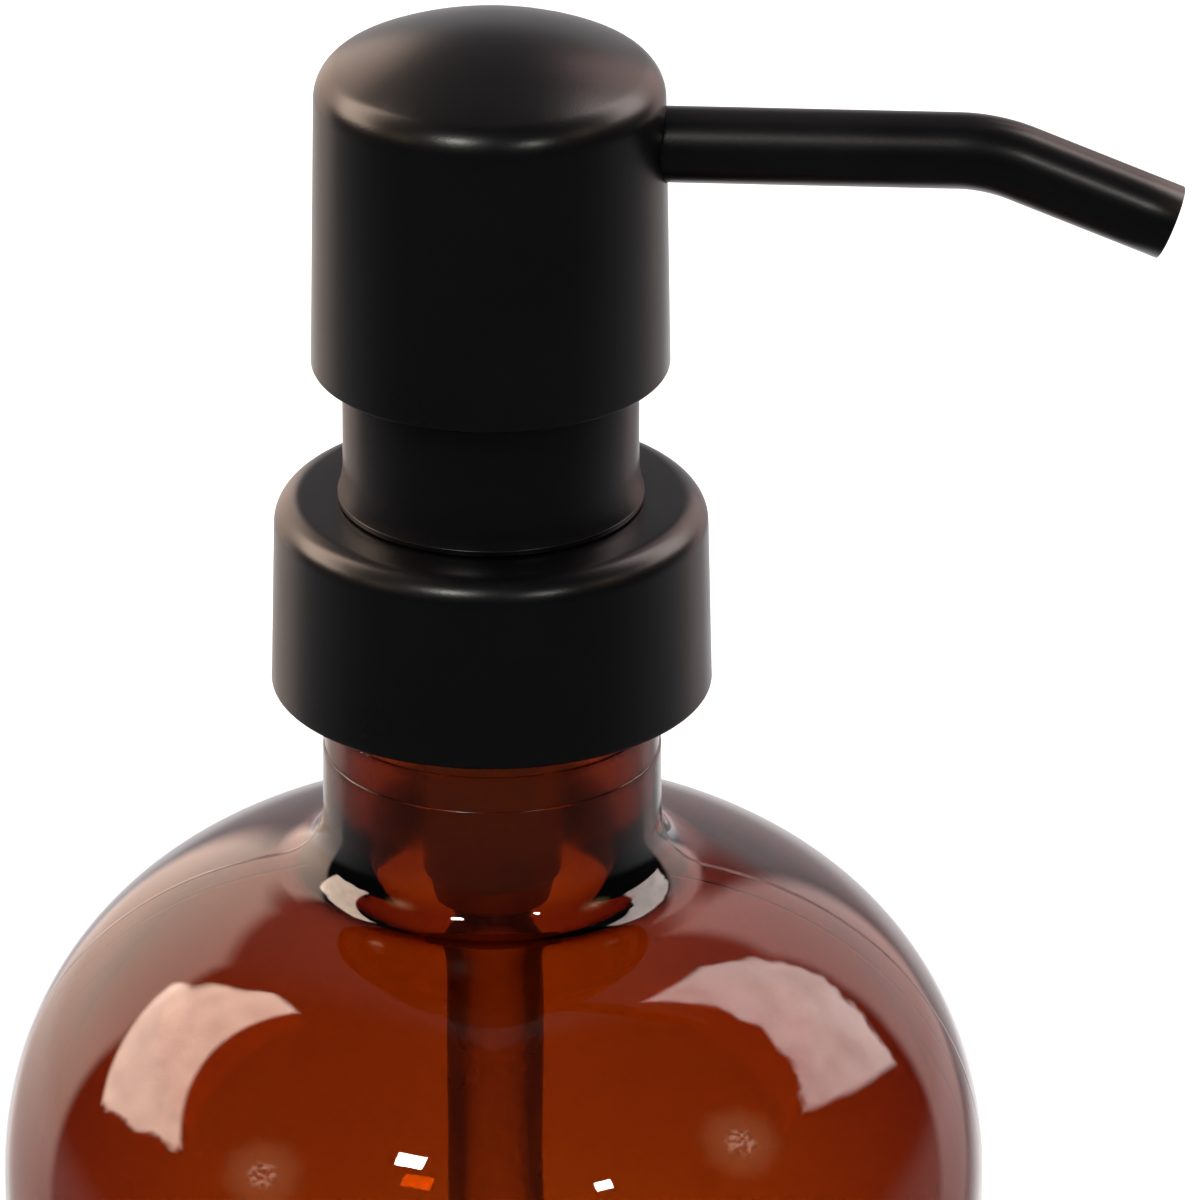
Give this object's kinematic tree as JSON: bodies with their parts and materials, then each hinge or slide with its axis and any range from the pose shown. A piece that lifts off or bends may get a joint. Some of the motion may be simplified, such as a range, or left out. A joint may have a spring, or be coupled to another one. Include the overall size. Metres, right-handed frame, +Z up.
{
  "type": "soap pump dispenser",
  "caption": "Round-shouldered amber glass soap bottle with a metal-sheathed screw-on pump: press-down swivelling head with a bent tube spout.",
  "frame": {"origin": "middle of the bottle's base, on its axis, on the surface it stands on", "axes": "+Z up along the bottle's axis; +X the way the spout points"},
  "size_m": [0.089, 0.075, 0.2127],
  "materials": {
    "amber_glass": "clear amber, polished, thick-walled",
    "satin_black_metal": "satin black coating on thin metal",
    "black_plastic": "moulded, matte black",
    "pump_plastic": "moulded, natural",
    "soft_plastic": "soft, waxy, natural",
    "seal_rubber": "soft, matte",
    "bright_steel": "bright stainless steel"
  },
  "bodies": {
    "bottle": {"bottle": "amber_glass"},
    "pump_unit": {"gasket": "seal_rubber", "pump_housing": "pump_plastic", "chaplet": "pump_plastic", "stem_seal": "seal_rubber", "sleeve_shell": "satin_black_metal", "dip_tube": "pump_plastic", "ball_cage": "pump_plastic", "spring": "bright_steel"},
    "closure": {"collar_shell": "satin_black_metal", "threaded_cap": "black_plastic"},
    "plunger": {"piston": "soft_plastic"},
    "head": {"head_shell": "satin_black_metal", "head_core": "black_plastic", "spout": "satin_black_metal", "spout_liner": "black_plastic", "stem": "pump_plastic", "piston_rod": "pump_plastic"},
    "inlet_ball": {"inlet_ball": "bright_steel"},
    "outlet_ball": {"outlet_ball": "bright_steel"}
  },
  "joints": [
    {"name": "pump_raise", "type": "slide", "parent": "bottle", "child": "pump_unit", "axis": [0, 0, 1], "range_m": [0, 0.00635]},
    {"name": "closure_turn", "type": "hinge", "parent": "pump_unit", "child": "closure", "pos_m": [0, 0, 0.1751], "axis": [0, 0, 1], "range_deg": [0, 541]},
    {"name": "head_press", "type": "slide", "parent": "pump_unit", "child": "plunger", "axis": [0, 0, 1], "range_m": [-0.0104, 0], "stiffness_N_per_m": 600, "springref_m": 0.008, "deforming": ["spring"]},
    {"name": "head_swivel", "type": "hinge", "parent": "plunger", "child": "head", "pos_m": [0, 0, 0.186], "axis": [0, 0, 1], "continuous": true},
    {"name": "inlet_lift", "type": "slide", "parent": "pump_unit", "child": "inlet_ball", "axis": [0, 0, 1], "range_m": [0, 0.0012]},
    {"name": "outlet_lift", "type": "slide", "parent": "head", "child": "outlet_ball", "axis": [0, 0, 1], "range_m": [0, 0.001]}
  ],
  "couplings": [
    {"joint": "closure_turn", "follows": "pump_raise", "rad_per_m": 1484.3}
  ]
}
